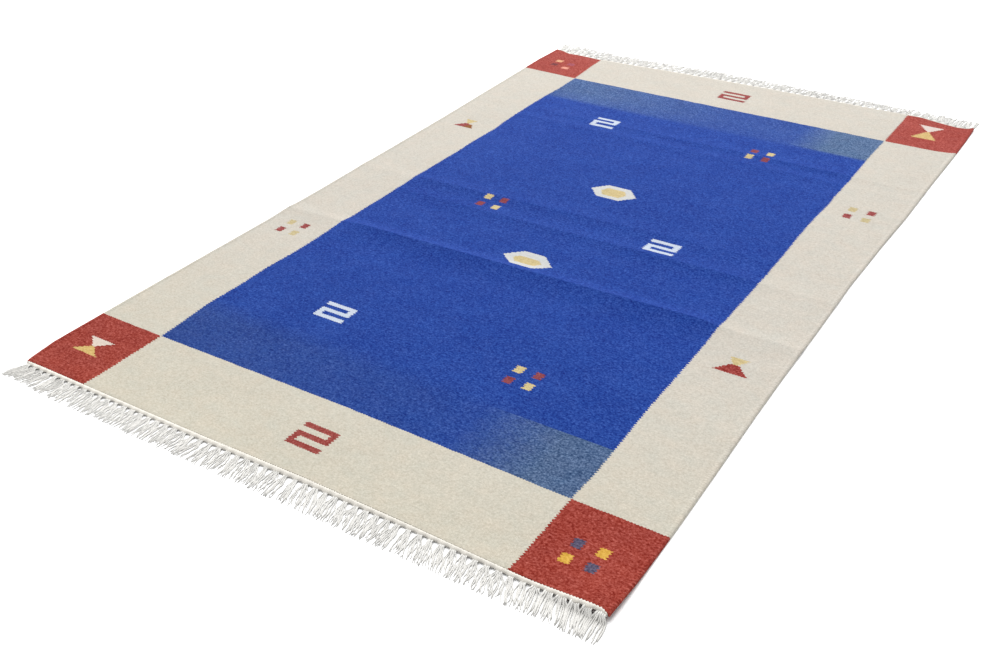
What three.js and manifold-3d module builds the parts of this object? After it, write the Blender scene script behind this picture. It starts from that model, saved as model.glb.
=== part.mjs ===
// A flat-woven kilim rug lying on a floor: one cloth with a fold crest and softer waves across it, and
// at each end a narrow heading whose warps hang out in bunches as a cut fringe.
// Millimetres, +Z up. +X runs across the rug, +Y along it from the near end to the far end.
import * as THREE from "three";
import { mergeVertices } from "three/addons/utils/BufferGeometryUtils.js";
import Module from "manifold-3d";

// The cloth, measured on the loom: before its edges drew in and its folds rose
const CLOTH_WIDTH = 1160;
const CLOTH_LENGTH = 1847;
const CLOTH_THICKNESS = 4;

// Its rim: how far the faces stop short of the outline, and the thicker cord along each side
const RIM_ROUNDING = 1.2;
const RIM_LOW = 0.35 * CLOTH_THICKNESS;
const SELVEDGE_CREST = 4;
const SELVEDGE_WIDTH = 9;
const SELVEDGE_SWELL = 0.6;

// The squares of cloth between two folds or edges that the faces are made of
const CELL_ACROSS = 88;
const CELL_ALONG = 52;
const CLOSEST_ROWS = 6;
const CLOSEST_COLUMNS = 15;

// The heading and its fringe
const SEAM_GAP = 0.42;
const HEADING_WIDTH = 8;
const HEADING_THICKNESS = 3.4;
const GROUPS_PER_END = 60;
const LOCKS_PER_GROUP = 2;
const GROUP_PITCH = 19.25;
const LOCK_WIDTH = 6.6;
const LOCK_HEIGHT = 2.6;

// From lock to lock the fringe leans a little to and fro, and is cut a little shorter or longer
const LEAN = { size: 0.4, turn: 1.7 };
const RAGGEDNESS = { size: 3, turn: 2.3 };

// Where the two sides of the cloth run, a row for each place where they turn
const SIDE_EDGES = [
  { along: -924, left: -567, right: 583 },
  { along: -890, left: -574.5, right: 584.5 },
  { along: -860, left: -579, right: 585 },
  { along: -740, left: -578, right: 584 },
  { along: -590, left: -576, right: 581 },
  { along: -420, left: -573, right: 576.5 },
  { along: -300, left: -571.5, right: 575 },
  { along: -130, left: -570.5, right: 574.5 },
  { along: 50, left: -571, right: 572 },
  { along: 240, left: -571, right: 575.5 },
  { along: 370, left: -572, right: 580 },
  { along: 550, left: -575.5, right: 581 },
  { along: 740, left: -579, right: 584.5 },
  { along: 830, left: -580.5, right: 585 },
  { along: 924, left: -577, right: 584 },
];

// Where the two ends run: drawn in beside the far corners, with an ear where each selvedge cord ends
const END_EDGES = [
  { across: -580, near: -933, far: 919 },
  { across: -560, near: -932, far: 917 },
  { across: -530, near: -931.5, far: 904.5 },
  { across: -500, near: -931.5, far: 906.5 },
  { across: -430, near: -931, far: 902 },
  { across: -150, near: -929, far: 915 },
  { across: 60, near: -925, far: 919.5 },
  { across: 250, near: -927, far: 920.5 },
  { across: 440, near: -932, far: 919.5 },
  { across: 460, near: -932, far: 920 },
  { across: 505, near: -931.5, far: 909.5 },
  { across: 545, near: -931.5, far: 903.5 },
  { across: 567, near: -931.5, far: 905.5 },
  { across: 580, near: -938, far: 915.5 },
];

// The cloth bends with the lines of its ends only past this place along it
const BENT_PAST = 760;

// Folds that the rug kept from being stored, each a crest across its whole width: where the crest
// crosses the middle and how it slants, how high it stands at the left and right border, and how
// far its nearer and farther flank reach
const FOLDS = [
  { crest: -229, slant: 0.022, left: 8.5, right: 9.5, nearFlank: 78, farFlank: 40 },
  { crest: -44, slant: 0.012, left: 1.5, right: 5.5, nearFlank: 45, farFlank: 52 },
  { crest: 38, slant: 0.045, left: 5, right: 0.5, nearFlank: 50, farFlank: 52 },
  { crest: 455, slant: 0, left: 1.2, right: 2, nearFlank: 44, farFlank: 36 },
  { crest: 506, slant: 0, left: 0.5, right: 4, nearFlank: 32, farFlank: 40 },
];
const FLANK_HOLLOW = 1.8;
const FOLD_ROWS = [-1, -0.55, -0.22, 0, 0.3, 0.65, 1];
const SLANT_REACH = 80;

// Folds lie low in the two side borders, where the selvedge cords hold them down
const FOLD_FULL_WITHIN = 370;
const FOLD_FADED_PAST = 450;
const FOLD_LEFT_AT_SIDE = 0.27;

// The near end stands a little off the floor on the roots of its fringe, most of all at its corners
const LIP_HEIGHT = { middle: 0.5, corners: 1.8, flatWithin: 220, fullPast: 480 };
const LIP_REACH = 40;

// Corners and a stretch of the far end that curl up off the floor
const CURLS = [
  { across: 556, along: -924, height: 8, reach: 150 },
  { across: 440, along: 924, height: 1.5, reach: 130 },
  { across: 582, along: 920, height: 3, reach: 45 },
];

// How the fringe lies: its groups sway in two slow waves, and its outermost ones splay
const SWAYS = [
  { size: 2.2, turn: 0.52, start: 0.4 },
  { size: 1.1, turn: 1.31, start: 2.1 },
];

// The two ends: the side, where the longest locks end, and how the outermost ones splay
const FRINGE_ENDS = [
  { side: -1, tips: 986, leftSplay: -11, rightSplay: 3, swayStart: 0 },
  { side: 1, tips: 974, leftSplay: -5, rightSplay: 0, swayStart: 2.6 },
];
const SPLAYED_GROUPS = 3;

// One lock from its root in the heading to its cut end: shares of its length, of the spread of its
// group, of the sway, of the width and height it has in full, and of how high the heading holds it
const LOCK_STATIONS = [
  { reach: -0.05, spread: 0.45, sway: 0, wide: 0.56, high: 0.9, held: 1 },
  { reach: 0.12, spread: 0.52, sway: 0.08, wide: 0.64, high: 1.4, held: 0.7 },
  { reach: 0.5, spread: 0.82, sway: 0.5, wide: 0.9, high: 1, held: 0 },
  { reach: 1, spread: 1, sway: 1, wide: 1, high: 0.7, held: 0 },
];

const halfWidth = CLOTH_WIDTH / 2;
const halfLength = CLOTH_LENGTH / 2;
const wasm = await Module();
wasm.setup();

// A column of a table as a function of the place, in between as the interpolant draws it
function track(Interpolant, rows, place, column) {
  const places = rows.map((row) => row[place]);
  const values = rows.map((row) => row[column]);
  const line = new Interpolant(places, values, 1, new Float32Array(1));
  return (at) => line.evaluate(at)[0];
}

const leftSide = track(THREE.CubicInterpolant, SIDE_EDGES, "along", "left");
const rightSide = track(THREE.CubicInterpolant, SIDE_EDGES, "along", "right");
const nearEnd = track(THREE.LinearInterpolant, END_EDGES, "across", "near");
const farEnd = track(THREE.LinearInterpolant, END_EDGES, "across", "far");

// How high one fold lifts the cloth at a place: a crisp crest with hollow flanks
function foldHeight(fold, x, y) {
  const past = y - (fold.crest + fold.slant * x);
  const flank = past < 0 ? fold.nearFlank : fold.farFlank;
  const share = Math.max(0, 1 - Math.abs(past) / flank);
  const crest = THREE.MathUtils.mapLinear(x, -halfWidth, halfWidth, fold.left, fold.right);
  const outwards = THREE.MathUtils.smoothstep(Math.abs(x), FOLD_FULL_WITHIN, FOLD_FADED_PAST);
  return crest * share ** FLANK_HOLLOW * THREE.MathUtils.lerp(1, FOLD_LEFT_AT_SIDE, outwards);
}

function curlHeight(curl, x, y) {
  const away = Math.hypot(x - curl.across, y - curl.along);
  return curl.height * Math.max(0, 1 - away / curl.reach) ** 2;
}

// How far the underside of the cloth stands off the floor
function lift(x, y) {
  const folds = FOLDS.reduce((sum, fold) => sum + foldHeight(fold, x, y), 0);
  const curled = CURLS.reduce((sum, curl) => sum + curlHeight(curl, x, y), folds);
  const toLip = Math.max(0, 1 - Math.abs(y + halfLength) / LIP_REACH);
  const outwards = THREE.MathUtils.smoothstep(Math.abs(x), LIP_HEIGHT.flatWithin, LIP_HEIGHT.fullPast);
  const lip = THREE.MathUtils.lerp(LIP_HEIGHT.middle, LIP_HEIGHT.corners, outwards);
  return Math.max(curled, lip * toLip ** 2);
}

// How far a place is on the way to an end of the cloth, from where the bend starts
function towardsEnd(distance) {
  const share = THREE.MathUtils.inverseLerp(BENT_PAST, halfLength, distance);
  return THREE.MathUtils.clamp(share, 0, 1);
}

// Rows near a slanting crest slant with it, so that an edge of the faces runs along the crest
function rowSlant(across, along) {
  return FOLDS.reduce((sum, fold) => {
    const hold = Math.max(0, 1 - Math.abs(along - fold.crest) / SLANT_REACH);
    return sum + fold.slant * across * hold;
  }, 0);
}

// A place on the loom, across and along, as it lies on the floor, at a height over the underside
function clothPoint(across, along, height) {
  const x = THREE.MathUtils.mapLinear(across, -halfWidth, halfWidth, leftSide(along), rightSide(along));
  const bent =
    (nearEnd(across) + halfLength) * towardsEnd(-along) + (farEnd(across) - halfLength) * towardsEnd(along);
  const y = along + bent + rowSlant(across, along);
  return new THREE.Vector3(x, y, lift(x, y) + height);
}

function evenSteps(from, to, size) {
  const count = Math.ceil((to - from) / size);
  return Array.from({ length: count + 1 }, (_, i) => from + ((to - from) * i) / count);
}

// From the first mark to the last, with even steps between
function evenBetween(marks, size) {
  const between = (mark, i) => evenSteps(marks[i], mark, size).slice(1);
  return [marks[0], ...marks.slice(1).flatMap(between)];
}

// Columns on the selvedge cords and wherever the ends turn
function clothColumns() {
  const [rim, crest, cord] = [RIM_ROUNDING, SELVEDGE_CREST, SELVEDGE_WIDTH].map((inset) => halfWidth - inset);
  const inside = cord - CLOSEST_COLUMNS;
  const turns = END_EDGES.map((edge) => edge.across).filter((across) => Math.abs(across) < inside);
  return [-rim, -crest, ...evenBetween([-cord, ...turns, cord], CELL_ACROSS), crest, rim];
}

// Rows at every fold's crest, on its flanks and on the near lip, then even rows in the room between
function clothRows() {
  const ends = halfLength - RIM_ROUNDING;
  const folded = FOLDS.flatMap((fold) =>
    FOLD_ROWS.map((part) => fold.crest + part * (part < 0 ? fold.nearFlank : fold.farFlank)),
  ).sort((a, b) => a - b);
  const crests = FOLDS.map((fold) => fold.crest);
  const kept = [];
  for (const row of folded) {
    const last = kept.at(-1) ?? -Infinity;
    if (row - last >= CLOSEST_ROWS) kept.push(row);
    else if (crests.includes(row)) kept[kept.length - 1] = row;
  }
  const lip = [0.5, 1].map((part) => -halfLength + part * LIP_REACH);
  return evenBetween([-ends, ...lip, ...kept, ends], CELL_ALONG);
}

function topHeight(across) {
  const inset = halfWidth - Math.abs(across);
  if (inset >= SELVEDGE_WIDTH) return CLOTH_THICKNESS;
  if (inset > RIM_ROUNDING) return CLOTH_THICKNESS + SELVEDGE_SWELL;
  return CLOTH_THICKNESS - RIM_ROUNDING / 2;
}

function solidGeometry(points, faces) {
  const geometry = new THREE.BufferGeometry();
  const positions = points.flatMap((point) => point.toArray());
  geometry.setAttribute("position", new THREE.Float32BufferAttribute(positions, 3));
  geometry.setIndex(faces);
  return geometry;
}

// The cloth as one closed sheet: a top and an underside on the same grid, and a rim between them
function clothGeometry() {
  const columns = clothColumns();
  const rows = clothRows();
  const wide = columns.length;
  const long = rows.length;
  const face = (heightAt) => rows.flatMap((v) => columns.map((u) => clothPoint(u, v, heightAt(u))));
  const points = [...face(topHeight), ...face(() => 0)];
  const under = wide * long;
  const faces = [];
  for (let j = 0; j + 1 < long; j++) {
    for (let i = 0; i + 1 < wide; i++) {
      const a = j * wide + i;
      const [b, c, d] = [a + 1, a + wide + 1, a + wide];
      faces.push(a, b, c, a, c, d);
      faces.push(under + a, under + c, under + b, under + a, under + d, under + c);
    }
  }
  const border = borderLoop(wide, long);
  const rim = points.length;
  for (const [i, j] of border) {
    const across = columns[i] + outward(i, wide) * RIM_ROUNDING;
    const along = rows[j] + outward(j, long) * RIM_ROUNDING;
    points.push(clothPoint(across, along, RIM_LOW));
  }
  border.forEach(([i, j], k) => {
    const next = (k + 1) % border.length;
    const a = j * wide + i;
    const b = border[next][1] * wide + border[next][0];
    const [p, q] = [rim + k, rim + next];
    faces.push(a, p, q, a, q, b);
    faces.push(p, under + a, under + b, p, under + b, q);
  });
  return solidGeometry(points, faces);
}

function outward(index, count) {
  if (index === 0) return -1;
  return index === count - 1 ? 1 : 0;
}

// The grid's border, counter-clockwise from the near left corner
function borderLoop(wide, long) {
  const loop = [];
  for (let i = 0; i < wide - 1; i++) loop.push([i, 0]);
  for (let j = 0; j < long - 1; j++) loop.push([wide - 1, j]);
  for (let i = wide - 1; i > 0; i--) loop.push([i, long - 1]);
  for (let j = long - 1; j > 0; j--) loop.push([0, j]);
  return loop;
}

// A closed solid through a row of like sections, each a list of points that turns counter-clockwise
// as seen from where the row comes from
function loft(sections) {
  const sides = sections[0].length;
  const points = sections.flat();
  const faces = [];
  for (let s = 0; s + 1 < sections.length; s++) {
    for (let k = 0; k < sides; k++) {
      const a = s * sides + k;
      const b = s * sides + ((k + 1) % sides);
      faces.push(a, b, b + sides, a, b + sides, a + sides);
    }
  }
  const end = (sections.length - 1) * sides;
  for (let k = 1; k + 1 < sides; k++) {
    faces.push(0, k + 1, k);
    faces.push(end, end + k, end + k + 1);
  }
  return solidGeometry(points, faces);
}

function manifoldOf(geometry) {
  const bare = geometry.clone();
  bare.deleteAttribute("normal");
  bare.deleteAttribute("uv");
  const merged = mergeVertices(bare, 1e-3);
  const mesh = new wasm.Mesh({
    numProp: 3,
    vertProperties: new Float32Array(merged.attributes.position.array),
    triVerts: new Uint32Array(merged.index.array),
  });
  return new wasm.Manifold(mesh);
}

function geometryOf(solid) {
  const mesh = solid.getMesh();
  const geometry = new THREE.BufferGeometry();
  geometry.setAttribute("position", new THREE.BufferAttribute(new Float32Array(mesh.vertProperties), 3));
  geometry.setIndex(new THREE.BufferAttribute(new Uint32Array(mesh.triVerts), 1));
  geometry.computeVertexNormals();
  return geometry;
}

// Where an end of the cloth lies, and a little past it: the near end has side -1, the far end +1
function pastEnd(side, across, distance) {
  const edge = clothPoint(across, side * halfLength, 0);
  const y = edge.y + side * distance;
  return new THREE.Vector3(edge.x, y, lift(edge.x, edge.y));
}

// The plain heading, a thin strip that follows the end of the cloth
function headingGeometry(side) {
  const columns = clothColumns().slice(2, -2);
  const sections = columns.map((across) => {
    const inner = pastEnd(side, across, SEAM_GAP);
    const outer = pastEnd(side, across, SEAM_GAP + HEADING_WIDTH);
    const [near, far] = side < 0 ? [outer, inner] : [inner, outer];
    const top = new THREE.Vector3(0, 0, HEADING_THICKNESS);
    return [near, far, far.clone().add(top), near.clone().add(top)];
  });
  return loft(sections);
}

function groupSway(end, group) {
  const waves = SWAYS.map((sway) => sway.size * Math.sin(sway.turn * group + sway.start + end.swayStart));
  const fromLeft = group / SPLAYED_GROUPS;
  const fromRight = (GROUPS_PER_END - 1 - group) / SPLAYED_GROUPS;
  const splay = end.leftSplay * Math.max(0, 1 - fromLeft) + end.rightSplay * Math.max(0, 1 - fromRight);
  const swayed = Math.min(1, fromLeft, fromRight);
  return splay + swayed * waves.reduce((sum, wave) => sum + wave, 0);
}

function groupAcross(group) {
  return (group - (GROUPS_PER_END - 1) / 2) * GROUP_PITCH;
}

// One lock of a group: three-sided, and flat on the floor once it is down from the heading
function lockGeometry(end, group, lock) {
  const { side } = end;
  const root = pastEnd(side, groupAcross(group), SEAM_GAP + HEADING_WIDTH);
  const number = group * LOCKS_PER_GROUP + lock;
  const spread = ((lock + 0.5) / LOCKS_PER_GROUP - 0.5) * GROUP_PITCH;
  const sway = groupSway(end, group) + LEAN.size * Math.sin(LEAN.turn * number);
  const ragged = RAGGEDNESS.size * (1 + Math.sin(RAGGEDNESS.turn * number + side));
  const length = end.tips - Math.abs(root.y) - ragged;
  const sections = LOCK_STATIONS.map((station) => {
    const x = root.x + spread * station.spread + sway * station.sway;
    const y = root.y + side * length * station.reach;
    const z = root.z * station.held;
    const half = (LOCK_WIDTH * station.wide) / 2;
    const right = new THREE.Vector3(x + half, y, z);
    const left = new THREE.Vector3(x - half, y, z);
    const crest = new THREE.Vector3(x, y, z + LOCK_HEIGHT * station.high);
    return side < 0 ? [left, right, crest] : [right, left, crest];
  });
  return loft(sections);
}

// A heading with all its locks fused to it
function fringeGeometry(end) {
  let solid = manifoldOf(headingGeometry(end.side));
  for (let group = 0; group < GROUPS_PER_END; group++) {
    for (let lock = 0; lock < LOCKS_PER_GROUP; lock++) {
      solid = solid.add(manifoldOf(lockGeometry(end, group, lock)));
    }
  }
  return geometryOf(solid);
}

function namedMesh(name, geometry, material) {
  const mesh = new THREE.Mesh(geometry, material);
  mesh.name = name;
  return mesh;
}

const wool = new THREE.MeshStandardMaterial({ color: "#2f4b9e", roughness: 0.95, metalness: 0 });
const cotton = new THREE.MeshStandardMaterial({ color: "#e3ded2", roughness: 0.9, metalness: 0 });

const rug = new THREE.Group();
rug.add(namedMesh("kilim_cloth", clothGeometry(), wool));
rug.add(namedMesh("near_fringe", fringeGeometry(FRINGE_ENDS[0]), cotton));
rug.add(namedMesh("far_fringe", fringeGeometry(FRINGE_ENDS[1]), cotton));

// The origin is on the floor under the middle of the rug, fringes included
const extent = new THREE.Box3().setFromObject(rug);
const middle = extent.getCenter(new THREE.Vector3());
rug.position.set(-middle.x, -middle.y, -extent.min.z);

export default rug;
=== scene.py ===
import logging
import math
from collections.abc import Callable, Sequence
from dataclasses import dataclass
from enum import Enum

import bmesh
import bpy
import numpy as np
from bpy.types import Material, Mesh, Node, NodeSocket, Object
from mathutils import Matrix, Vector, noise


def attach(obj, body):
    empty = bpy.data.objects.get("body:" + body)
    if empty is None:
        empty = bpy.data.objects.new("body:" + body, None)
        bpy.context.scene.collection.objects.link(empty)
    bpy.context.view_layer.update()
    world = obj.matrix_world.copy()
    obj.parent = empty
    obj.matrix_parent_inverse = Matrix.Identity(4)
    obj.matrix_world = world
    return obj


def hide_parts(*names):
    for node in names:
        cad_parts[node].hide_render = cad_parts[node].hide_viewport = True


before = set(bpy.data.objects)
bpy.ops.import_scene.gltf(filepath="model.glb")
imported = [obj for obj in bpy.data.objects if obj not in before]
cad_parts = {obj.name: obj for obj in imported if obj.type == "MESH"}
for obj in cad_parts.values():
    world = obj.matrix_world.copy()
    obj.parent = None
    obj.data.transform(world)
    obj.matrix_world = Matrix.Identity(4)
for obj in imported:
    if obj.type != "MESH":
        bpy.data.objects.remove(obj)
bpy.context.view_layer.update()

# A flat-woven kilim rug lying on a pale floor. Tables are in millimetres, +X across the rug and +Y
# along it from its near end, with the origin where the middle of the loom lies; meshes are in metres.
LOG = logging.getLogger("kilim")
MM = 0.001
GAMMA = 2.2
DARKEST = 0.03
ROOT_BODY = "root"
LOOM_MIDDLE = (-2.248, 6.0)
Array = np.ndarray
Triple = tuple[float, float, float]
Sockets = dict[int | str, object]


@dataclass(frozen=True)
class Pair:
    """Where two facing edges of the weave run at one place: left and right, or near and far."""

    at: float
    low: float
    high: float


SIDES = tuple(Pair(*row) for row in (
    (-924, -567, 583), (-890, -574.5, 584.5), (-860, -579, 585), (-740, -578, 584),
    (-590, -576, 581), (-420, -573, 576.5), (-300, -571.5, 575), (-130, -570.5, 574.5),
    (50, -571, 572), (240, -571, 575.5), (370, -572, 580), (550, -575.5, 581),
    (740, -579, 584.5), (830, -580.5, 585), (924, -577, 584),
))
FIELD = tuple(Pair(*row) for row in (
    (-744, -424, 425), (-704, -426, 427.5), (-624, -432, 426), (-545, -429, 423),
    (-465, -430, 422), (-385, -425, 422.5), (-306, -425, 422), (-156, -424, 421),
    (-7, -422.5, 423), (93, -423, 421.5), (173, -420, 418.5), (252, -421, 418.5),
    (352, -417, 422), (392, -421, 420.5), (492, -422, 422.5), (591, -421, 420.5),
    (651, -416.5, 419.5), (731, -417, 421.5), (900, -424, 423),
))
CLOTH_ENDS = tuple(Pair(*row) for row in (
    (-580, -933, 919), (-560, -932, 917), (-530, -931.5, 904.5), (-500, -931.5, 906.5),
    (-430, -931, 902), (-150, -929, 915), (60, -925, 919.5), (250, -927, 920.5),
    (440, -932, 919.5), (460, -932, 920), (505, -931.5, 909.5), (545, -931.5, 903.5),
    (567, -931.5, 905.5), (580, -938, 915.5),
))


def between(at: Array, start: float, end: float | Array) -> Array:
    """Tell how far places are on the way from a start to an end, as shares from 0 to 1."""
    return np.clip((at - start) / (end - start), 0, 1)


def nearness(away: Array, reach: float | Array) -> Array:
    """Tell how near places are, as shares from 1 at no distance to 0 from a reach on."""
    return np.maximum(0, 1 - np.abs(away) / reach)


def smooth(share: Array) -> Array:
    """Ease shares from 0 to 1 in and out."""
    return share * share * (3 - 2 * share)


def blend(start: Array | float, end: Array | float, share: Array) -> Array:
    """Go from a start to an end by shares from 0 to 1."""
    return start + (end - start) * share


def follow(rows: Sequence[object], column: str, at: Array) -> Array:
    """Read a column of a table at any places, as a line through its rows, which are in order."""
    return np.interp(at, [row.at for row in rows], [getattr(row, column) for row in rows])


def edges(rows: Sequence[Pair], at: Array) -> tuple[Array, Array]:
    """Read both edges of a table at any places."""
    return follow(rows, "low", at), follow(rows, "high", at)


@dataclass(frozen=True)
class Fold:
    """A crest right across the rug that it kept from being stored folded."""

    crest: float
    slant: float
    left: float
    right: float
    near_flank: float
    far_flank: float
    hollow: float = 1.8

    def height(self, x: Array, y: Array, half_width: float) -> Array:
        """Tell how high the fold lifts the cloth.

        Args:
            x: Places across the rug.
            y: Places along the rug.
            half_width: Half of the cloth's width.

        Returns:
            The height of the fold at each place.
        """
        past = y - (self.crest + self.slant * x)
        flank = np.where(past < 0, self.near_flank, self.far_flank)
        crest = self.left + (self.right - self.left) * (x + half_width) / (2 * half_width)
        return crest * nearness(past, flank) ** self.hollow


@dataclass(frozen=True)
class Curl:
    """A place at the rim that stands up off the floor."""

    across: float
    along: float
    height: float
    reach: float

    def lift(self, x: Array, y: Array) -> Array:
        """Tell how high the curl lifts the cloth at places on the rug."""
        away = np.hypot(x - self.across, y - self.along)
        return self.height * nearness(away, self.reach) ** 2


@dataclass(frozen=True)
class Pull:
    """A place where the weft was drawn along the rug."""

    across: float
    along: float
    by: float
    reach_across: float
    reach_along: float

    def shift(self, across: Array, along: Array) -> Array:
        """Tell how far the weft is drawn along the rug at places on the loom."""
        beyond = smooth(nearness(along - self.along, self.reach_along))
        return self.by * nearness(across - self.across, self.reach_across) ** 2 * beyond


@dataclass(frozen=True)
class Lie:
    """How the rug lies on the floor."""

    half_width: float = 580
    half_length: float = 923.5
    field_half: float = 425
    slant_reach: float = 80
    full_within: float = 370
    faded_past: float = 450
    left_at_side: float = 0.27
    bent_past: float = 760
    lip_middle: float = 0.5
    lip_corners: float = 1.8
    lip_flat_within: float = 220
    lip_full_past: float = 480
    lip_reach: float = 40
    pull: Pull = Pull(584, 770, by=15, reach_across=62, reach_along=110)
    folds: tuple[Fold, ...] = (
        Fold(-229, 0.022, 8.5, 9.5, 78, 40),
        Fold(-44, 0.012, 1.5, 5.5, 45, 52),
        Fold(38, 0.045, 5, 0.5, 50, 52),
        Fold(455, 0, 1.2, 2, 44, 36),
        Fold(506, 0, 0.5, 4, 32, 40),
    )
    curls: tuple[Curl, ...] = (
        Curl(556, -924, height=8, reach=150),
        Curl(440, 924, height=1.5, reach=130),
        Curl(582, 920, height=3, reach=45),
    )

    def lift(self, x: Array, y: Array) -> Array:
        """Tell how far the underside of the cloth stands off the floor.

        Args:
            x: Places across the rug.
            y: Places along the rug.

        Returns:
            The height at each place.
        """
        outwards = smooth(between(np.abs(x), self.full_within, self.faded_past))
        folds = sum(fold.height(x, y, self.half_width) for fold in self.folds)
        folds = folds * blend(1, self.left_at_side, outwards)
        corner = smooth(between(np.abs(x), self.lip_flat_within, self.lip_full_past))
        lip = blend(self.lip_middle, self.lip_corners, corner)
        lip = lip * nearness(y + self.half_length, self.lip_reach) ** 2
        return np.maximum(folds + sum(curl.lift(x, y) for curl in self.curls), lip)

    def place(self, across: Array, along: Array) -> tuple[Array, Array]:
        """Find where places on the loom lie on the floor.

        Args:
            across: Places across the loom.
            along: Places along the loom.

        Returns:
            The places across and along the rug.
        """
        left, right = edges(SIDES, along)
        field_left, field_right = edges(FIELD, along)
        near, far = edges(CLOTH_ENDS, across)
        half, inner = self.half_width, self.field_half
        x = blend(left, field_left, between(across, -half, -inner))
        x = x + (field_right - field_left) * between(across, -inner, inner)
        x = x + (right - field_right) * between(across, inner, half)
        past = np.abs(across) - half
        x = x + np.where(past > 0, np.sign(across) * past, 0)
        y = along + (near + self.half_length) * between(along, -self.bent_past, -self.half_length)
        y = y + (far - self.half_length) * between(along, self.bent_past, self.half_length)
        return x, y + self.pull.shift(across, along)

    def slanted(self, across: Array, along: Array) -> Array:
        """Turn straight rows of the grid on the loom so that they run along the crests."""
        for fold in self.folds:
            along = along + fold.slant * across * nearness(along - fold.crest, self.slant_reach)
        return along


class Dye(Enum):
    """The dyed and natural wools: a linear colour, and how strongly it is heathered."""

    ECRU = ((0.414, 0.386, 0.336), 0.074)
    BLUE = ((0.0085, 0.036, 0.207), 0.157)
    AZURE = ((0.0092, 0.0385, 0.221), 0.157)
    SLATE = ((0.06, 0.104, 0.195), 0.2)
    DUSK = ((0.047, 0.082, 0.168), 0.21)
    TEAL = ((0.025, 0.05, 0.145), 0.157)
    RED = ((0.219, 0.033, 0.0265), 0.185)
    ROSE = ((0.25, 0.0445, 0.034), 0.15)
    BRICK = ((0.21, 0.043, 0.041), 0.12)
    MAROON = ((0.165, 0.036, 0.045), 0.12)
    WHITE = ((0.385, 0.425, 0.495), 0.05)
    BLEACHED = ((0.41, 0.41, 0.40), 0.05)
    CREAM = ((0.485, 0.41, 0.37), 0.05)
    YELLOW = ((0.447, 0.257, 0.047), 0.12)
    GOLD = ((0.43, 0.30, 0.12), 0.1)
    STRAW = ((0.405, 0.325, 0.162), 0.1)
    FLAX = ((0.37, 0.31, 0.17), 0.1)
    NAVY = ((0.061, 0.052, 0.095), 0.16)
    APRICOT = ((0.50, 0.26, 0.148), 0.12)
    SALMON = ((0.50, 0.213, 0.153), 0.12)
    BROWN = ((0.18, 0.067, 0.019), 0.12)
    PLUM = ((0.132, 0.032, 0.033), 0.12)
    VIOLET = ((0.245, 0.06, 0.078), 0.12)

    @property
    def colour(self) -> Triple:
        """Look up the linear colour."""
        return self.value[0]

    @property
    def fleck(self) -> float:
        """Look up how strong the flecks are."""
        return self.value[1]


Operand = "Value | float | int"


def _operator(operation: str, swapped: bool = False) -> Callable[..., "Value"]:
    """Make one of the operators of a value.

    Args:
        operation: The maths node's operation.
        swapped: Whether the value stands on the right.

    Returns:
        The method that joins the value with the other operand, if it has one.
    """

    def apply(value: "Value", *others: Operand) -> "Value":
        """Join the value with the others."""
        return value.graph.math(operation, *((*others, value) if swapped else (value, *others)))

    return apply


@dataclass(frozen=True, eq=False)
class Value:
    """A number that a node gives, joined with others by Python's operators; masks are 0 to 1."""

    graph: "Graph"
    socket: NodeSocket

    __add__ = _operator("ADD")
    __radd__ = _operator("ADD", swapped=True)
    __sub__ = _operator("SUBTRACT")
    __rsub__ = _operator("SUBTRACT", swapped=True)
    __mul__ = _operator("MULTIPLY")
    __rmul__ = _operator("MULTIPLY", swapped=True)
    __truediv__ = _operator("DIVIDE")
    __rtruediv__ = _operator("DIVIDE", swapped=True)
    __gt__ = _operator("GREATER_THAN")
    __lt__ = _operator("LESS_THAN")
    __and__ = _operator("MULTIPLY")
    __or__ = _operator("MAXIMUM")
    __abs__ = _operator("ABSOLUTE")
    fraction = _operator("FRACT")
    whole = _operator("FLOOR")
    sine = _operator("SINE")

    def __invert__(self) -> "Value":
        """Turn a mask inside out."""
        return 1 - self

    def ramp(self, start: float, end: float, low: Operand = 0, high: Operand = 1) -> "Value":
        """Map the range from a start to an end onto one from low to high, clamped."""
        sockets = {"Value": self, "From Min": start, "From Max": end, "To Min": low, "To Max": high}
        return self.graph.value("ShaderNodeMapRange", {"clamp": True}, sockets)


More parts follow.
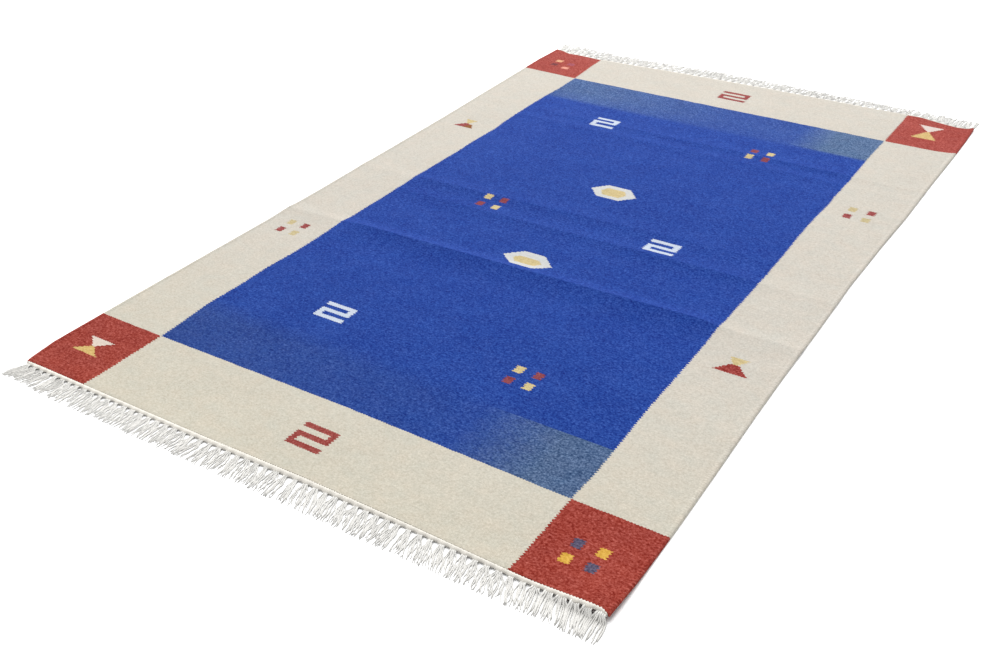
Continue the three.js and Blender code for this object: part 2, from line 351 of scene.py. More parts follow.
class Graph:
    """The nodes of one material."""

    def __init__(self, name: str) -> None:
        """Start an empty material.

        Args:
            name: The material's name.
        """
        self.material = bpy.data.materials.new(name)
        self.material.use_nodes = True
        self.tree = self.material.node_tree
        self.tree.nodes.clear()

    def node(self, kind: str, settings: dict[str, object], sockets: Sockets) -> Node:
        """Add a node.

        Args:
            kind: The node's type.
            settings: Its settings, which are set first.
            sockets: What goes into its sockets: values, numbers or colours.

        Returns:
            The node.
        """
        node = self.tree.nodes.new(kind)
        for key, setting in settings.items():
            setattr(node, key, setting)
        for key, given in sockets.items():
            if isinstance(given, Value):
                self.tree.links.new(given.socket, node.inputs[key])
            elif isinstance(given, tuple) and node.inputs[key].type == "RGBA":
                node.inputs[key].default_value = (*given, 1)
            else:
                node.inputs[key].default_value = given
        return node

    def value(self, kind: str, settings: dict[str, object], sockets: Sockets, output: int = 0) -> Value:
        """Add a node, and wrap one of its outputs, given by its number."""
        return Value(self, self.node(kind, settings, sockets).outputs[output])

    def math(self, operation: str, *operands: Operand) -> Value:
        """Join numbers by an operation of the maths node."""
        return self.value("ShaderNodeMath", {"operation": operation}, dict(enumerate(operands)))

    def vector(self, operation: str, sockets: Sockets) -> Value:
        """Join colours or points by an operation of the vector maths node."""
        return self.value("ShaderNodeVectorMath", {"operation": operation}, sockets)

    def mix(self, mask: Operand, under: object, over: object) -> Value:
        """Lay one colour over another, as much as a mask says."""
        return self.value("ShaderNodeMix", {"data_type": "RGBA"}, {0: mask, 6: under, 7: over}, 2)

    def scale(self, colour: object, by: Operand) -> Value:
        """Multiply every part of a colour or of a point."""
        return self.vector("SCALE", {0: colour, "Scale": by})

    def step(self, colour: Value, by: Value) -> Value:
        """Make a colour lighter or darker by the same step to the eye, whatever the colour.

        Args:
            colour: The colour.
            by: The step of each of its three parts.

        Returns:
            The changed colour.
        """
        seen = self.value("ShaderNodeGamma", {}, {"Color": colour, "Gamma": 1 / GAMMA})
        kept = self.vector("MAXIMUM", {0: self.vector("ADD", {0: seen, 1: by}), 1: (DARKEST,) * 3})
        return self.value("ShaderNodeGamma", {}, {"Color": kept, "Gamma": GAMMA})

    def point(self, x: Operand, y: Operand, z: Operand = 0) -> Value:
        """Join three numbers into a point."""
        return self.value("ShaderNodeCombineXYZ", {}, {0: x, 1: y, 2: z})

    def cloud(self, point: Value, detail: float, roughness: float) -> Value:
        """Draw soft noise of about one unit, around a half, with finer layers."""
        sockets = {"Vector": point, "Scale": 1.0, "Detail": detail, "Roughness": roughness}
        return self.value("ShaderNodeTexNoise", {}, sockets)

    def parts(self, point: Value) -> tuple[Value, Value]:
        """Part a point into its first two numbers."""
        x, y, _ = self.node("ShaderNodeSeparateXYZ", {}, {0: point}).outputs
        return Value(self, x), Value(self, y)

    def chart(self, layer: str) -> tuple[Value, Value]:
        """Read a UV map that was made in metres, in millimetres."""
        u, v = self.parts(self.value("ShaderNodeUVMap", {"uv_map": layer}, {}))
        return u / MM, v / MM

    def finish(
        self, colour: object, roughness: object, height: Value | None, depth: float, **constants: object
    ) -> Material:
        """Close the material.

        Args:
            colour: The base colour.
            roughness: The roughness.
            height: The bump's height from 0 to 1, if it has one.
            depth: How deep the bump is, in millimetres.
            **constants: The other sockets of the surface, with spaces as underscores.

        Returns:
            The finished material.
        """
        sockets = {"Base Color": colour, "Roughness": roughness}
        sockets |= {name.replace("_", " "): constant for name, constant in constants.items()}
        if height is not None:
            bump = {"Strength": 1.0, "Distance": depth * MM, "Height": height}
            sockets["Normal"] = self.value("ShaderNodeBump", {}, bump)
        surface = self.value("ShaderNodeBsdfPrincipled", {}, sockets)
        self.node("ShaderNodeOutputMaterial", {}, {"Surface": surface})
        return self.material


@dataclass(frozen=True)
class Grain:
    """Soft noise in patches of a size in millimetres."""

    across: float
    along: float
    layer: float
    detail: float = 2
    roughness: float = 0.6

    def draw(self, graph: Graph, across: Value, along: Value) -> Value:
        """Draw the noise around nought."""
        point = graph.point(across / self.across, along / self.along, self.layer)
        return graph.cloud(point, self.detail, self.roughness) - 0.5


@dataclass
class Canvas:
    """The wools of the weave at places across and along the loom, laid on one after another."""

    graph: Graph
    across: Value
    along: Value
    colour: object = Dye.ECRU.colour
    fleck: Operand = Dye.ECRU.fleck

    def lay(self, mask: Value, dye: Dye) -> None:
        """Weave a shape in another wool."""
        self.colour = self.graph.mix(mask, self.colour, dye.colour)
        self.fleck = self.fleck + mask * (dye.fleck - self.fleck)

    def block(self, left: float, right: float, near: float, far: float) -> Value:
        """Draw an upright rectangle between two sides and two ends."""
        inside = abs(self.across - (left + right) / 2) < (right - left) / 2
        return inside & (abs(self.along - (near + far) / 2) < (far - near) / 2)


@dataclass(frozen=True)
class FourSquares:
    """Four small squares, whose wools change crosswise."""

    across: float
    along: float
    rising: Dye
    falling: Dye
    step_across: float = 19.5
    step_along: float = 17.5
    half_across: float = 8.3
    half_along: float = 9.7

    def draw(self, canvas: Canvas) -> None:
        """Weave the squares.

        Args:
            canvas: What they are woven into.
        """
        past_across = canvas.across - self.across
        past_along = canvas.along - self.along
        beside = abs(abs(past_across) - self.step_across) < self.half_across
        squares = beside & (abs(abs(past_along) - self.step_along) < self.half_along)
        same_side = (past_across * past_along) > 0
        canvas.lay(squares & same_side, self.rising)
        canvas.lay(squares & ~same_side, self.falling)


@dataclass(frozen=True)
class Hook:
    """A squared hook of five rows: a bar, an upright at its right, a bar, one at its left, a bar."""

    across: float
    along: float
    width: float
    height: float
    dye: Dye
    upright: float = 12
    beyond: float = 9

    def draw(self, canvas: Canvas) -> None:
        """Weave the hook: a block less the two notches at its sides.

        Args:
            canvas: What it is woven into.
        """
        half, row = self.width / 2, self.height / 5
        left, right, at = self.across - half, self.across + half, self.along
        block = canvas.block(left, right, at - self.height / 2, at + self.height / 2)
        upper = canvas.block(left - self.beyond, right - self.upright, at + row / 2, at + 1.5 * row)
        lower = canvas.block(left + self.upright, right + self.beyond, at - 1.5 * row, at - row / 2)
        canvas.lay(block & ~(upper | lower), self.dye)


@dataclass(frozen=True)
class Taper:
    """A triangle, one with its tip cut off, or a square; two make a bow tie or a lozenge."""

    across: float
    tip: float
    base: float
    tip_half: float
    base_half: float
    dye: Dye

    def draw(self, canvas: Canvas) -> None:
        """Weave the shape.

        Args:
            canvas: What it is woven into.
        """
        half = canvas.along.ramp(self.tip, self.base, self.tip_half, self.base_half)
        inside = abs(canvas.across - self.across) < half
        rows = abs(canvas.along - (self.tip + self.base) / 2) < abs(self.base - self.tip) / 2
        canvas.lay(inside & rows, self.dye)


@dataclass(frozen=True)
class WoolWeave:
    """The finish of the cloth: its design, its flecked wools and its weave, with painted light on the
    side faces at its selvedges.
    """

    field_half: float = 425
    field_ends_half: float = 420
    field_side_left: float = -573
    field_near: Triple = (-752.5, -750, -758)
    field_far: Triple = (747.5, 742, 738.5)
    azure_rows: tuple[float, ...] = (150, 600)
    teal_rows: tuple[float, ...] = (-600, -650)
    teal_columns: tuple[float, ...] = (-420, 200, 0.4, 0.12)
    dusk_before: float = -626
    dusk_columns: tuple[float, ...] = (195, 345)
    slate_rows: tuple[tuple[float, ...], ...] = ((592, 612, 0, 0.7), (612, 661, 0, 0.3))
    slate_columns: tuple[float, ...] = (-330, 70, 0.75, 0.23)
    right_slate_rows: tuple[float, ...] = (601, 613)
    right_slate_columns: tuple[float, ...] = (210, 320)
    tooth: float = 5.8
    tooth_depth: float = 4.2
    stair: float = 0.9
    warp_pitch: float = 2.6
    weft_pitch: float = 1.3
    rib_depth: float = 0.45
    selvedge_from: float = 571
    cord_pitch: float = 5.4
    rim_from: float = 577
    side_face_painted_light: float = 0.16
    run: Grain = Grain(10, 3.8, 3.1, 3, 0.75)
    fine: Grain = Grain(3.8, 3.4, 8.7, 2, 0.8)
    broad: Grain = Grain(90, 60, 5.5)
    wander: Grain = Grain(26, 9, 1.7)
    drift: Grain = Grain(34, 26, 7.3)

    def field_motifs(self) -> tuple[object, ...]:
        """List what is woven into the field."""
        return (
            Hook(-201.5, -528, 66, 51, Dye.WHITE),
            Hook(204, -2, 65, 51, Dye.WHITE),
            Hook(-201, 508.5, 62, 52, Dye.WHITE),
            Taper(-1, -150.5, -181.5, 24, 56, Dye.BLEACHED),
            Taper(-1, -209.5, -181.5, 24, 56, Dye.BLEACHED),
            Taper(-1, -171.5, -181.5, 22, 33, Dye.STRAW),
            Taper(-1, -196.5, -181.5, 22, 33, Dye.STRAW),
            Taper(3, 202, 171, 27, 55, Dye.BLEACHED),
            Taper(3, 142, 171, 27, 55, Dye.BLEACHED),
            Taper(3, 189, 171, 20, 31, Dye.STRAW),
            Taper(3, 154, 171, 20, 31, Dye.STRAW),
            FourSquares(207, -531, Dye.MAROON, Dye.STRAW),
            FourSquares(-203, -0.5, Dye.MAROON, Dye.STRAW),
            FourSquares(203.5, 513.5, Dye.STRAW, Dye.MAROON),
        )

    def border_motifs(self) -> tuple[object, ...]:
        """List what is woven into the border and its corners."""
        return (
            Hook(4.5, -841.5, 68, 58, Dye.BRICK),
            Hook(4.5, 826.5, 74, 54, Dye.BRICK),
            FourSquares(-502.5, -309.5, Dye.BRICK, Dye.FLAX),
            FourSquares(495.5, 336.5, Dye.BRICK, Dye.FLAX),
            FourSquares(498, -853, Dye.YELLOW, Dye.NAVY),
            Taper(-504.5, -838.5, -815, 1.5, 29, Dye.CREAM),
            Taper(-504.5, -838.5, -861, 2.5, 31, Dye.GOLD),
            Taper(494, 841.5, 876.5, 1.5, 28, Dye.CREAM),
            Taper(494, 841.5, 797, 2.5, 28, Dye.GOLD),
            Taper(-501.5, 338.5, 362, 2.5, 16, Dye.STRAW),
            Taper(-501.5, 338.5, 315.5, 6, 27, Dye.BRICK),
            Taper(496.5, -314, -292, 4.5, 18, Dye.STRAW),
            Taper(496.5, -314, -341.5, 8, 32, Dye.RED),
            Taper(-520.75, 830, 846, 9.25, 9.25, Dye.APRICOT),
            Taper(-520.75, 800.5, 816.5, 9.25, 9.25, Dye.PLUM),
            Taper(-480.5, 821, 837, 9.5, 9.5, Dye.VIOLET),
            Taper(-482, 790, 805, 9.5, 9.5, Dye.SALMON),
            Taper(-488, 336, 315.5, 3, 13, Dye.BROWN),
        )

    def weave_border(self, canvas: Canvas) -> Value:
        """Weave the corners and what stands in the border.

        Args:
            canvas: What they are woven into.

        Returns:
            The mask of the field that they leave free.
        """
        u, v = canvas.across, canvas.along
        reach = self.field_ends_half
        left, middle, right = self.field_near
        near_end = u.ramp(-reach, 0, left, middle) + u.ramp(0, reach, 0, right - middle)
        left, inner, right = self.field_far
        far_end = u.ramp(self.field_side_left, -reach, left, inner)
        far_end = far_end + u.ramp(-reach, reach, 0, right - inner)
        outside = abs(u) > self.field_half
        beyond = (v > far_end) | (v < near_end)
        corners = outside & beyond
        canvas.lay(corners, Dye.RED)
        canvas.lay(corners & (v > 0), Dye.ROSE)
        for motif in self.border_motifs():
            motif.draw(canvas)
        return ~outside & ~beyond

    def weave_field(self, canvas: Canvas, field: Value, across: Value, along: Value, run: Value) -> None:
        """Weave the field, its batches of blue and what stands in it.

        Args:
            canvas: What it is woven into.
            field: The field's mask.
            across: The place across the loom.
            along: The place along the loom.
            run: Noise around nought that the batches are broken up by.
        """
        canvas.lay(field, Dye.BLUE)
        canvas.lay(field & along.ramp(*self.azure_rows), Dye.AZURE)
        strip = along.ramp(*self.teal_rows) * across.ramp(*self.teal_columns)
        canvas.lay(field & (strip + run * strip * 2).ramp(0, 1), Dye.TEAL)
        near = across.ramp(*self.dusk_columns) & (along < self.dusk_before)
        first, then = (along.ramp(*rows) for rows in self.slate_rows)
        left = across.ramp(*self.slate_columns) & (first + then)
        right = across.ramp(*self.right_slate_columns) & along.ramp(*self.right_slate_rows)
        fade = near | left | right
        faded = field & (fade + run * fade * (1 - fade) * 3).ramp(0, 1)
        canvas.lay(faded & (along > 0), Dye.SLATE)
        canvas.lay(faded & (along < 0), Dye.DUSK)
        for motif in self.field_motifs():
            motif.draw(canvas)

    def material(self) -> Material:
        """Make the finish.

        Returns:
            The material.
        """
        graph = Graph("wool_weave")
        across, along = graph.chart("loom")
        run, fine, broad, wander, drift = (
            grain.draw(graph, across, along)
            for grain in (self.run, self.fine, self.broad, self.wander, self.drift)
        )
        comb = abs((along / self.tooth + wander * 1.6).fraction() - 0.5)
        teeth = comb * self.tooth_depth * 2 - self.tooth_depth / 2
        stairs = ((across / self.warp_pitch / 2).fraction() > 0.5) * self.stair
        canvas = Canvas(graph, across + teeth + wander * 3, along + stairs + wander * 3)
        self.weave_field(canvas, self.weave_border(canvas), across, along, run)

        tone = (run + fine * 2.8 + broad * 0.35) * canvas.fleck
        drift = drift * 0.03
        warmth = along.ramp(-900, -300, -0.014, 0.004) - drift * 0.5
        # Painted light: the side faces beyond rim_from are made lighter to offset the shade that falls
        # on them.
        rim = (abs(across) > self.rim_from) * self.side_face_painted_light + 1
        steps = graph.point(tone + drift, tone, tone + warmth)
        colour = graph.step(graph.scale(canvas.colour, rim), steps)

        stagger = ((along / self.weft_pitch).whole() / 2).fraction()
        bead = abs(((across / self.warp_pitch + stagger) * math.pi).sine())
        weft = abs((along / self.weft_pitch * math.pi).sine())
        cord = (abs(across) > self.selvedge_from) * abs((along / self.cord_pitch * math.pi).sine())
        height = bead * weft * 0.5 + (fine + 0.5) * 0.7 + (run + 0.5) * 0.5 + cord * 0.8
        return graph.finish(
            colour, 0.95, height, self.rib_depth,
            Specular_IOR_Level=0.05, Sheen_Weight=0.02, Sheen_Roughness=0.5,
        )


@dataclass(frozen=True)
class CottonYarn:
    """The finish of the heading and the fringe: plied undyed cotton, with painted light at the left and
    painted shade at the far end.
    """

    name: str = "cotton_warp"
    colour: Triple = (0.58, 0.57, 0.545)
    ply_pitch: float = 4.2
    ply_depth: float = 0.06
    painted_light_at_left: float = 1.12
    painted_shade_at_far_end: float = 0.92
    fibres_per_metre: float = 260.0
    fuzz: float = 0.28

    def material(self) -> Material:
        """Make the finish.

        Returns:
            The material.
        """
        graph = Graph(self.name)
        round_it, down = graph.chart("yarn")
        spiral = abs(((round_it / 1000 * 2 + down / self.ply_pitch) * math.pi).sine())
        place = graph.value("ShaderNodeTexCoord", {}, {}, 3)
        x, y = graph.parts(place)
        # Painted light and shade: the colour is lightened towards the left, where the yarns lie densely
        # in each other's shade, and darkened at the far end.
        tone = x.ramp(-0.3, 0.05, self.painted_light_at_left, 1) * y.ramp(-0.5, 0.5, 1, self.painted_shade_at_far_end)
        fuzz = graph.cloud(graph.scale(place, self.fibres_per_metre), 3, 0.7)
        colour = graph.scale(self.colour, (fuzz * self.fuzz + (1 - self.fuzz / 2)) * tone)
        return graph.finish(
            colour, 0.9, spiral * 0.7 + fuzz * 0.6, self.ply_depth,
            Specular_IOR_Level=0.15, Sheen_Weight=0.1, Sheen_Roughness=0.5,
        )


@dataclass(frozen=True)
class Plain:
    """A plain matt finish."""

    name: str
    colour: Triple

    def material(self) -> Material:
        """Make the finish."""
        return Graph(self.name).finish(self.colour, 1.0, None, 0, Specular_IOR_Level=0.0)


def mesh_of(name: str, shaped: bmesh.types.BMesh) -> Mesh:
    """Turn a modelled shape into a mesh.

    Args:
        name: The mesh's name.
        shaped: The shape, which is freed.

    Returns:
        The mesh.
    """
    mesh = bpy.data.meshes.new(name)
    shaped.to_mesh(mesh)
    shaped.free()
    return mesh


def into_scene(data: bpy.types.ID) -> Object:
    """Put a mesh, a lamp or a camera into the scene.

    Args:
        data: The mesh, the lamp or the camera, whose name the object takes.

    Returns:
        The object, at the origin.
    """
    made = bpy.data.objects.new(data.name, data)
    bpy.context.scene.collection.objects.link(made)
    return made


def shape(mesh: Mesh, places: Sequence[Array], chart: str, coordinates: Sequence[Array]) -> None:
    """Give a mesh a UV map, move every point of it, and turn its faces outwards.

    Args:
        mesh: The mesh.
        places: Where its points go across the rug, along it and up, in millimetres.
        chart: The UV map's name.
        coordinates: The two coordinates of each point in it, in millimetres.
    """
    corners = np.empty(len(mesh.loops), dtype=np.int32)
    mesh.loops.foreach_get("vertex_index", corners)
    laid = np.stack(coordinates, axis=1)[corners] * MM
    mesh.uv_layers.new(name=chart).data.foreach_set("uv", laid.astype(np.float32).ravel())
    shifted = (np.stack(places, axis=1) + (*LOOM_MIDDLE, 0)) * MM
    mesh.vertices.foreach_set("co", shifted.astype(np.float32).ravel())
    shaped = bmesh.new()
    shaped.from_mesh(mesh)
    bmesh.ops.recalc_face_normals(shaped, faces=shaped.faces[:])
    shaped.to_mesh(mesh)
    shaped.free()
    mesh.shade_smooth()
    mesh.update()


@dataclass(frozen=True)
class KilimCloth:
    """The woven cloth: one sheet with its folds, rounded rim and selvedge cords."""

    lie: Lie
    thickness: float = 4
    rounding: float = 1.2
    rim_share: float = 1.01
    end_share: float = 0.3
    cell: float = 9
    row_cell: float = 7.2
    crest_cell: float = 3
    crest_reach: float = 27
    cord_columns: tuple[float, ...] = (2.2, 3.6, 5.2, 6.8, 8.2, 9.4, 11.5)
    plain_within: float = 18
    rim_rows: tuple[float, ...] = (0, 0.4, 1.6, 5)
    selvedge: float = 9
    swell: float = 0.6
    swell_power: float = 0.7
    cockle: float = 0.3
    cockle_size: float = 46
    fine_cockle: float = 0.4
    fine_cockles: float = 2.6
    cockle_at_side: float = 0.3

    def columns(self) -> Array:
        """Choose where the columns of the grid run.

        Returns:
            Places across the loom, closer at the selvedge cords.
        """
        half = self.lie.half_width
        inner = half - self.plain_within
        cord = np.array([self.rounding, *self.cord_columns])
        middle = np.linspace(-inner, inner, round(2 * inner / self.cell) + 1)
        return np.concatenate([-half + cord, middle, half - cord[::-1]])

    def rows(self) -> Array:
        """Choose where the rows of the grid run.

        Returns:
            Places along the loom, closer at the crests of the folds.
        """
        rim = self.lie.half_length - self.rounding - np.array(self.rim_rows)
        places, at = [*-rim[:-1]], -rim[-1]
        while at < rim[-1]:
            places.append(at)
            nearest = min(abs(at - fold.crest) for fold in self.lie.folds)
            at += self.crest_cell if nearest < self.crest_reach else self.row_cell
        for fold in self.lie.folds:
            closest = min(range(len(places)), key=lambda row: abs(places[row] - fold.crest))
            places[closest] = fold.crest
        if rim[-1] - places[-1] < self.crest_cell:
            places.pop()
        return np.array([*places, *rim[::-1]])

    def grid(self) -> Mesh:
        """Make the flat sheet with its loom places stored at its points.

        Returns:
            The mesh, in squares of one.
        """
        columns, rows = self.columns(), self.rows()
        sheet = bmesh.new()
        across, along, level = (
            sheet.verts.layers.float.new(name) for name in ("across", "along", "level")
        )
        cells = len(columns) - 1, len(rows) - 1
        bmesh.ops.create_grid(sheet, x_segments=cells[0], y_segments=cells[1], size=0.5)
        for point in sheet.verts:
            point[across] = columns[round((point.co.x + 0.5) * cells[0])]
            point[along] = rows[round((point.co.y + 0.5) * cells[1])]
        top = bmesh.ops.extrude_face_region(sheet, geom=sheet.faces[:], use_keep_orig=True)["geom"]
        for point in (part for part in top if isinstance(part, bmesh.types.BMVert)):
            point[level] = 1
        uprights = [e for e in sheet.edges if e.verts[0][level] != e.verts[1][level]]
        bmesh.ops.subdivide_edges(sheet, edges=uprights, cuts=2, use_grid_fill=True)
        return mesh_of("kilim_cloth_woven", sheet)

    def cockles(self, x: Array, y: Array) -> Array:
        """Make the slight unevenness of hand-woven cloth at places on the rug, around nought."""
        layers = ((1, 1, 0.5), (self.fine_cockle, self.fine_cockles, 4))
        return self.cockle * np.array([
            sum(by * noise.noise(Vector((a * finer, b * finer, level))) for by, finer, level in layers)
            for a, b in zip(x / self.cockle_size, y / self.cockle_size, strict=True)
        ])

    def build(self, finish: WoolWeave) -> Object:
        """Model and dress the cloth.

        Args:
            finish: Its finish.

        Returns:
            The cloth.
        """
        mesh = self.grid()
        across, along, level = (
            np.array([point.value for point in mesh.attributes[name].data])
            for name in ("across", "along", "level")
        )
        half, rim = self.lie.half_width, self.rounding * self.rim_share
        bulge = np.sin(np.pi * level) ** 0.5 * self.rounding
        side = np.where(np.abs(across) > half - rim, np.sign(across), 0)
        end = np.where(np.abs(along) > self.lie.half_length - rim, np.sign(along), 0)
        across, along = across + side * bulge, along + end * bulge * self.end_share
        along = self.lie.slanted(across, along)
        x, y = self.lie.place(across, along)
        inset = np.clip(half - np.abs(across), 0, self.selvedge)
        cord = np.sin(np.pi * np.clip(inset / self.selvedge, 0, 1)) ** self.swell_power
        top = np.where(side != 0, self.thickness - self.rounding / 2, self.thickness + self.swell * cord)
        calm = level * np.where(side != 0, self.cockle_at_side, 1)
        z = self.lie.lift(x, y) + level * top + calm * self.cockles(x, y)
        shape(mesh, (x, y, z), "loom", (across, y - self.lie.pull.shift(across, along)))
        mesh.materials.append(finish.material())
        cloth = into_scene(mesh)
        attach(cloth, ROOT_BODY)
        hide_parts("kilim_cloth")
        LOG.info("cloth: %d points", len(mesh.vertices))
        return cloth


@dataclass(frozen=True)
class Lean:
    """How far the fringe leans to the right at one place across the rug, and where it ends."""

    at: float
    by: float
    tips: float = 985


NEAR_LEANS = tuple(Lean(*row) for row in (
    (-580, -17, 980), (-545, -13, 979), (-500, -7, 983), (-450, -1), (-350, 2),
    (-290, -3), (-250, 3), (-200, 2), (-150, -6), (-120, 0), (-90, 6),
    (-50, 14), (-20, 8), (0, 3), (20, 6), (50, 14), (80, 18), (110, 16),
    (180, 12), (230, 2), (250, 4), (270, 14), (300, 18), (340, 16), (390, 8),
    (430, 16), (460, 12), (500, 14), (530, 10), (575, 4),
))
FAR_LEANS = tuple(Lean(*row) for row in (
    (-580, -14, 992), (-520, -4, 982), (-400, 5, 972), (-260, -4, 980),
    (-120, 4, 984), (40, -3, 987), (180, 5, 980), (330, -2, 976), (450, 3, 974),
    (540, 0, 970), (580, 6, 968),
))


@dataclass(frozen=True)
class FringeEnd:
    """What is built at an end: its side, its solid, how it leans, its random seed and its tangle."""

    side: int
    node: str
    leans: tuple[Lean, ...]
    seed: int
    tangle: float


class End(Enum):
    """The two ends of the rug."""

    NEAR = FringeEnd(-1, "near_fringe", NEAR_LEANS, 11, 1)
    FAR = FringeEnd(1, "far_fringe", FAR_LEANS, 12, 1.8)


@dataclass(frozen=True)
class Fringe:
    """A heading and the cut warp yarns that hang out of it in bunches."""

    lie: Lie
    groups: int = 60
    pitch: float = 19.25
    yarns: int = 10
    yarn_radius: float = 1.05
    yarn_tip: float = 0.45
    yarn_sides: int = 5
    yarn_rings: int = 9
    root_width: float = 6.8
    root_width_at_right: float = 12
    stout_at_right: float = 1.3
    calm_at_right: float = 0.6
    right_from: float = 450
    right_full: float = 485
    flatness: float = 0.65
    tip_width: float = 19.5
    spread: tuple[float, float] = (0.55, 1.1)
    opened_from: float = 0.12
    opened_at: float = 0.44
    opened_at_sides: float = 0.26
    shortest: float = 14
    lean_play: float = 1.6
    lean_power: float = 1.2
    stray: float = 2
    wave: tuple[float, float] = (0.5, 1.9)
    wave_turns: tuple[float, float] = (9, 17)
    bow: tuple[float, float] = (-1, 10)
    layer_rise: float = 0.7
    layer_play: float = 0.4
    settled: float = 0.65
    slub: float = 0.06
    off_floor: float = 0.05
    seam: float = -1.6
    root_inside: float = 4
    heading_inset: float = 3
    heading_width: float = 9.2
    heading_wider: float = 2
    wider_from: float = 320
    wider_full: float = 60
    heading_base: float = 0.6
    heading_thickness: float = 3.6
    heading_slope: float = 2.2
    heading_power: float = 0.6
    scallop: float = 2.4
    stitch: float = 1.4
    lump: float = 0.3
    lump_pitch: float = 7.3
    drawn_in: float = 24
    heading_stations: int = 480
    heading_sides: int = 10
    twine: float = 4.8

    def edge(self, end: FringeEnd, across: Array) -> tuple[Array, Array, Array]:
        """Find where the cloth's end lies across and along the rug, and how high."""
        x, y = self.lie.place(across, np.full_like(across, end.side * self.lie.half_length))
        return x, y, self.lie.lift(x, y)

    def tubes(self, name: str, sides: int, rings: int, copies: int = 1) -> Mesh:
        """Make straight closed tubes from -0.5 to 0.5, one unit in radius, all in one place.

        Args:
            name: The mesh's name.
            sides: How many sides each has.
            rings: How many rings of points each has.
            copies: How many there are.

        Returns:
            The mesh, one tube after another.
        """
        tube = bmesh.new()
        bmesh.ops.create_cone(tube, cap_ends=True, segments=sides, radius1=1, radius2=1, depth=1)
        uprights = [e for e in tube.edges if abs(e.verts[0].co.z - e.verts[1].co.z) > 0.5]
        bmesh.ops.subdivide_edges(tube, edges=uprights, cuts=rings - 2, use_grid_fill=True)
        template = mesh_of("tube", tube)
        joined = bmesh.new()
        for _ in range(copies):
            joined.from_mesh(template)
        bpy.data.meshes.remove(template)
        return mesh_of(name, joined)

    def heading(self, end: FringeEnd) -> Mesh:
        """Make the narrow plain band that the warps leave from.

        Args:
            end: Which end it is at.

        Returns:
            The mesh.
        """
        mesh = self.tubes(f"{end.node}_heading", self.heading_sides, self.heading_stations)
        points = np.array([point.co for point in mesh.vertices])
        span = self.lie.half_width - self.heading_inset
        across = points[:, 2] * 2 * span
        x, y, lift = self.edge(end, across)
        angle = np.arctan2(points[:, 1], points[:, 0])
        outward, upward = np.cos(angle), np.sin(angle)
        bunch = 0.5 + 0.5 * np.cos(2 * np.pi * across / self.pitch + np.pi * (self.groups - 1))
        wider = between(np.abs(across), self.wider_from, self.wider_full)
        wide = self.heading_width + self.heading_wider * wider
        wide = wide - np.where(outward > 0, self.scallop * (1 - bunch), 0)
        wide = wide * (0.55 + 0.45 * smooth(between(span - np.abs(across), 0, self.drawn_in)))
        turns = 2 * np.pi * across / self.twine
        lump = self.lump * np.sin(turns + 1.5 * outward * np.pi)
        lump = lump + self.lump * np.sin(2 * np.pi * across / self.lump_pitch + 2.5 * outward)
        reach = self.seam + wide / 2 * (1 + np.sign(outward) * np.abs(outward) ** self.heading_power)
        reach = reach + self.stitch * np.sin(turns) * np.clip(-outward, 0, 1)
        thick = self.heading_thickness - self.heading_slope * np.clip(outward, 0, 1)
        high = thick / 2 * (1 + np.sign(upward) * np.abs(upward) ** self.heading_power)
        high = self.heading_base + high + np.where(upward > 0.2, lump, 0)
        shape(mesh, (x, y + end.side * reach, lift + high), "yarn", (angle / np.pi * 500, across))
        return mesh

    def strands(self, end: FringeEnd) -> Mesh:
        """Lay all the yarns of an end on the floor.

        Args:
            end: Which end they hang from.

        Returns:
            The mesh.
        """
        chance = np.random.default_rng(end.seed)
        bunches, count = (self.groups, 1), (self.groups * self.yarns, 1)
        mesh = self.tubes(f"{end.node}_yarns", self.yarn_sides, self.yarn_rings, count[0])
        points = np.array([point.co for point in mesh.vertices]).reshape(count[0], -1, 3)
        share = points[:, :, 2] + 0.5
        angle = np.arctan2(points[:, :, 1], points[:, :, 0])
        group = np.repeat(np.arange(self.groups), self.yarns)[:, None]
        number = np.tile(np.arange(self.yarns), self.groups)[:, None]
        across = (group - (self.groups - 1) / 2) * self.pitch
        root_x, root_y, lift = self.edge(end, across[:, 0].astype(float))

        fan = number / (self.yarns - 1) - 0.5
        right = between(across, self.right_from, self.right_full)
        spread = chance.uniform(*self.spread, bunches).repeat(self.yarns, 0)
        spread = self.tip_width * blend(spread, 1, right)
        beside = np.maximum(between(across, -150, -400), between(across, 380, 480))
        opened_at = blend(self.opened_at, self.opened_at_sides, beside)
        opened = smooth(between(share, self.opened_from, opened_at))
        width = blend(blend(self.root_width, self.root_width_at_right, right), spread, opened)
        lean = follow(end.leans, "by", across)
        lean = lean + chance.normal(0, self.lean_play, bunches).repeat(self.yarns, 0)
        stray = chance.normal(0, self.stray * end.tangle, count)
        waves = end.tangle * chance.uniform(*self.wave, count) * (1 - self.calm_at_right * right)
        turns = share * chance.uniform(*self.wave_turns, count)
        waves = waves * np.sin(turns + chance.uniform(0, 6.3, count))
        start = self.seam + self.heading_width - self.root_inside
        tips = follow(end.leans, "tips", across) - np.abs(root_y)[:, None]
        length = tips - start - self.shortest * chance.uniform(0, 1, count) ** 2
        reach = start + length * share
        bow = chance.uniform(*self.bow, bunches).repeat(self.yarns, 0) * fan * np.sin(np.pi * share)
        x = root_x[:, None] + fan * width + bow
        x = x + (lean + stray) * share**self.lean_power + waves * np.sqrt(share)
        layer = np.where(number % 2 == 0, 0.0, self.layer_rise)
        layer = layer + chance.uniform(0, self.layer_play, count)
        down = smooth(np.clip((share - 0.06) * 4.5, 0, 1))
        tapered = blend(self.yarn_tip, 1, smooth(np.clip((1 - share) * 4, 0, 1)))
        z = self.yarn_radius * self.flatness * tapered + layer * (1 - self.settled * down)
        z = z + (lift[:, None] + self.heading_base) * (1 - down)
        thick = self.yarn_radius * tapered * blend(1, self.stout_at_right, right)
        thick = thick * (1 + self.slub * np.sin(share * 40 + 9 * stray))
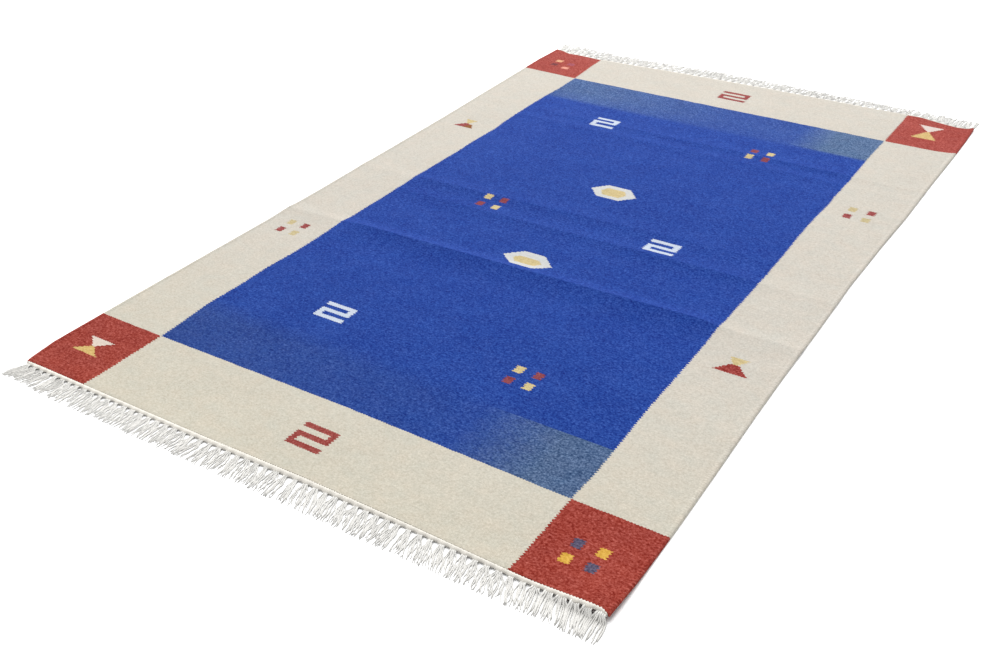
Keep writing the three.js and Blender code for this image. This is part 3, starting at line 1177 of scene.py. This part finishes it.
        x = x + np.cos(angle) * thick
        z = z + np.sin(angle) * thick * self.flatness
        y = root_y[:, None] + end.side * reach
        places = (x.ravel(), y.ravel(), np.maximum(z, self.off_floor).ravel())
        shape(mesh, places, "yarn", ((angle / np.pi * 500).ravel(), (reach + 0 * x).ravel()))
        return mesh

    def build(self, end: FringeEnd, band: Material, yarn: Material) -> list[Object]:
        """Model and dress a heading and its yarns.

        Args:
            end: Which end they are at.
            band: The heading's material.
            yarn: The yarns' material.

        Returns:
            The heading and the yarns.
        """
        made = []
        for mesh, material in ((self.heading(end), band), (self.strands(end), yarn)):
            mesh.materials.append(material)
            piece = into_scene(mesh)
            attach(piece, ROOT_BODY)
            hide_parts(end.node)
            LOG.info("%s: %d points", piece.name, len(mesh.vertices))
            made.append(piece)
        return made


@dataclass(frozen=True)
class Studio:
    """The floor, the light and the camera."""

    floor_half: float = 30
    floor_colour: Triple = (0.93, 0.93, 0.93)
    sky: float = 0.62
    sun: float = 4.8
    sun_azimuth: float = -38
    sun_elevation: float = 40
    sun_angle: float = 70
    fill: float = 55
    fill_size: float = 2
    fill_at: Triple = (-1.4, 3.0, 2.2)
    lens: float = 42.26
    sensor: float = 36
    clip: tuple[float, float] = (0.05, 200)
    camera_at: Triple = (1062.78, -1907.66, 1132.11)
    camera_right: Triple = (0.84264, 0.5381, -0.02026)
    camera_up: Triple = (-0.27565, 0.46336, 0.84221)

    def build(self) -> None:
        """Set the stage."""
        self.lay_floor()
        self.light()
        self.place_camera()

    def lay_floor(self) -> None:
        """Lay a pale floor."""
        plane = bmesh.new()
        bmesh.ops.create_grid(plane, x_segments=1, y_segments=1, size=self.floor_half)
        mesh = mesh_of("floor", plane)
        mesh.materials.append(Plain("floor_white", self.floor_colour).material())
        into_scene(mesh)

    def lamp(self, name: str, kind: str, energy: float, back: Vector) -> Object:
        """Hang a lamp that is turned towards the rug.

        Args:
            name: The lamp's name.
            kind: Its type.
            energy: How strong it is.
            back: The way from the rug to the lamp.

        Returns:
            The lamp.
        """
        lamp = into_scene(bpy.data.lights.new(name, kind))
        lamp.data.energy = energy
        lamp.rotation_mode = "QUATERNION"
        lamp.rotation_quaternion = back.to_track_quat("Z", "Y")
        return lamp

    def light(self) -> None:
        """Light the rug softly, most of it from the far left."""
        scene = bpy.context.scene
        scene.view_settings.view_transform = "Standard"
        scene.world = bpy.data.worlds.new("studio")
        scene.world.use_nodes = True
        background = scene.world.node_tree.nodes["Background"]
        background.inputs["Color"].default_value = (1, 1, 1, 1)
        background.inputs["Strength"].default_value = self.sky
        azimuth, elevation = math.radians(self.sun_azimuth), math.radians(self.sun_elevation)
        level = math.cos(elevation)
        back = Vector((math.sin(azimuth) * level, math.cos(azimuth) * level, math.sin(elevation)))
        key = self.lamp("key", "SUN", self.sun, back)
        key.data.angle = math.radians(self.sun_angle)
        soft = self.lamp("panel", "AREA", self.fill, Vector(self.fill_at))
        soft.data.size = self.fill_size
        soft.location = self.fill_at

    def place_camera(self) -> None:
        """Put the camera where the photograph was taken from."""
        data = bpy.data.cameras.new("camera")
        data.lens = self.lens
        data.sensor_width = self.sensor
        data.clip_start, data.clip_end = self.clip
        camera = into_scene(data)
        right, up = Vector(self.camera_right), Vector(self.camera_up)
        turned = Matrix((right, up, right.cross(up))).transposed().to_4x4()
        x, y, z = self.camera_at
        turned.translation = Vector((x + LOOM_MIDDLE[0], y + LOOM_MIDDLE[1], z)) * MM
        camera.matrix_world = turned
        bpy.context.scene.camera = camera


def main() -> None:
    """Build the rug and its stage."""
    logging.basicConfig(level=logging.INFO, format="%(name)s %(message)s")
    lie = Lie()
    cloth = KilimCloth(lie).build(WoolWeave())
    band = CottonYarn("cotton_heading", (0.555, 0.53, 0.48)).material()
    yarn = CottonYarn().material()
    fringe = Fringe(lie)
    fringes = [piece for end in End for piece in fringe.build(end.value, band, yarn)]
    Studio().build()


if __name__ == "__main__":
    main()
